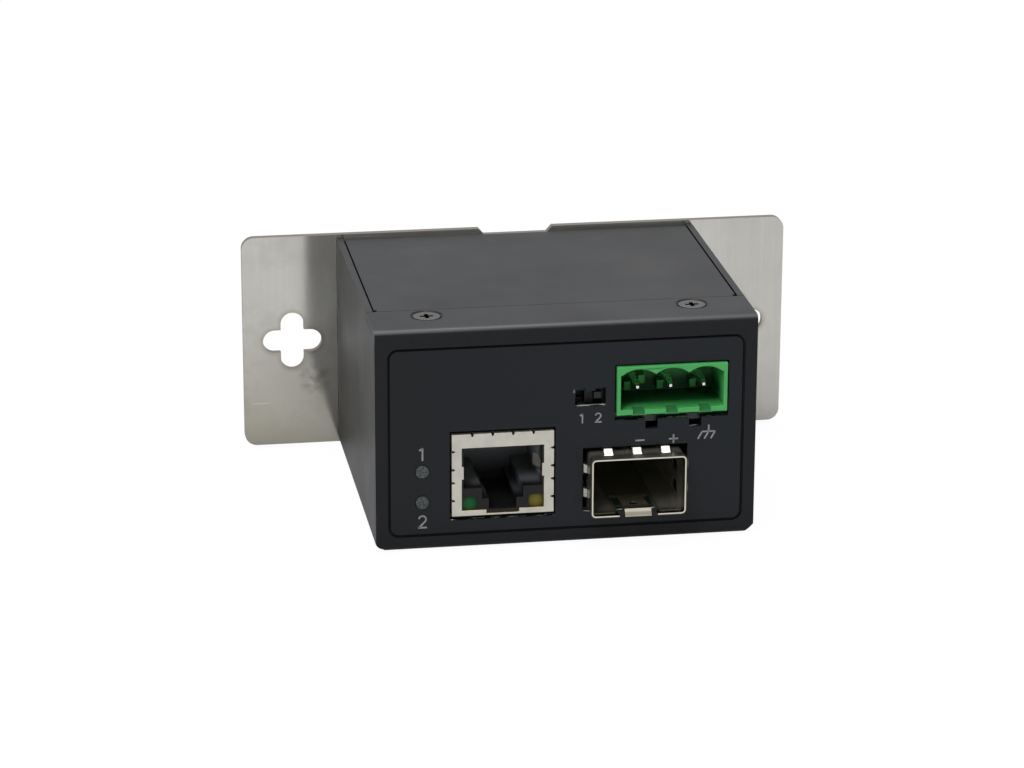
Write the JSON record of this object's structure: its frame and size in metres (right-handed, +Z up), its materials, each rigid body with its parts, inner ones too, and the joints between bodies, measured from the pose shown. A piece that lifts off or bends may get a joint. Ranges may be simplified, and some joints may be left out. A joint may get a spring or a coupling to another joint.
{
  "type": "fibre media converter",
  "caption": "Small black steel network converter with a copper network jack, a pluggable optics cage, a three-way power header and a setting switch, on a stainless wall-mounting plate.",
  "frame": {"origin": "middle of the underside of the steel box, under the middle of its depth", "axes": "+X right as seen from the front panel, +Y back towards the mounting plate, +Z up"},
  "size_m": [0.0886, 0.0541, 0.0354],
  "materials": {
    "black_paint": "fine-grained black powder coat",
    "stainless": "upright brushed stainless steel",
    "label_film": "dark satin polyester film with light print",
    "shield_metal": "matt tin plate",
    "cage_metal": "bright nickel plate",
    "black_plastic": "matt moulded black",
    "green_plastic": "satin moulded green",
    "contact_gold": "gold-plated contact",
    "pin_tin": "tin-plated pin",
    "lamp_green": "tinted light guide, green",
    "lamp_yellow": "tinted light guide, yellow",
    "clear_plastic": "clear moulded light pipe",
    "white_plastic": "matt moulded white",
    "slider_plastic": "matt moulded dark grey",
    "lamp_chip": "small lamp with a clear top",
    "board_green": "green solder resist on glass fibre",
    "screw_steel": "nickel-plated steel",
    "spacer_brass": "nickel-washed brass",
    "can_metal": "drawn aluminium can",
    "ferrite": "grey ferrite",
    "chip_black": "moulded chip body"
  },
  "bodies": {
    "case": {"chassis": "black_paint", "cover": "black_paint", "cover_nuts": "screw_steel", "plate_nuts": "screw_steel", "cover_screws": "screw_steel", "plate_screws": "screw_steel", "mounting_plate": "stainless", "front_label": "label_film", "jack_shield": "shield_metal", "jack_housing": "black_plastic", "jack_lamp_green": "lamp_green", "jack_lamp_yellow": "lamp_yellow", "jack_contacts": "contact_gold", "optics_cage": "cage_metal", "spring_collar": "cage_metal", "optics_socket": "black_plastic", "socket_contacts": "contact_gold", "power_header": "green_plastic", "power_pins": "pin_tin", "switch_case": "black_plastic", "switch_base": "black_plastic", "switch_pins": "pin_tin", "light_pipe_low": "clear_plastic", "light_pipe_high": "clear_plastic", "lamp_low": "lamp_chip", "lamp_high": "lamp_chip", "main_board": "board_green", "power_board": "board_green", "standoffs": "screw_steel", "spacers": "spacer_brass", "board_screws": "screw_steel", "capacitor_left": "can_metal", "capacitor_right": "can_metal", "power_inductor": "ferrite", "regulator_chip": "chip_black", "input_fuse": "white_plastic", "surge_diodes": "chip_black", "controller_chip": "chip_black", "network_transformer": "chip_black", "crystal": "can_metal", "memory_chip": "chip_black", "link_strip": "black_plastic", "link_socket": "black_plastic", "link_pins": "contact_gold"},
    "setting_1": {"slider_1": "slider_plastic"},
    "setting_2": {"slider_2": "slider_plastic"}
  },
  "joints": [
    {"name": "setting_1_slide", "type": "slide", "parent": "case", "child": "setting_1", "axis": [0, 0, 1], "range_m": [0, 0.0016]},
    {"name": "setting_2_slide", "type": "slide", "parent": "case", "child": "setting_2", "axis": [0, 0, 1], "range_m": [-0.0016, 0]}
  ]
}
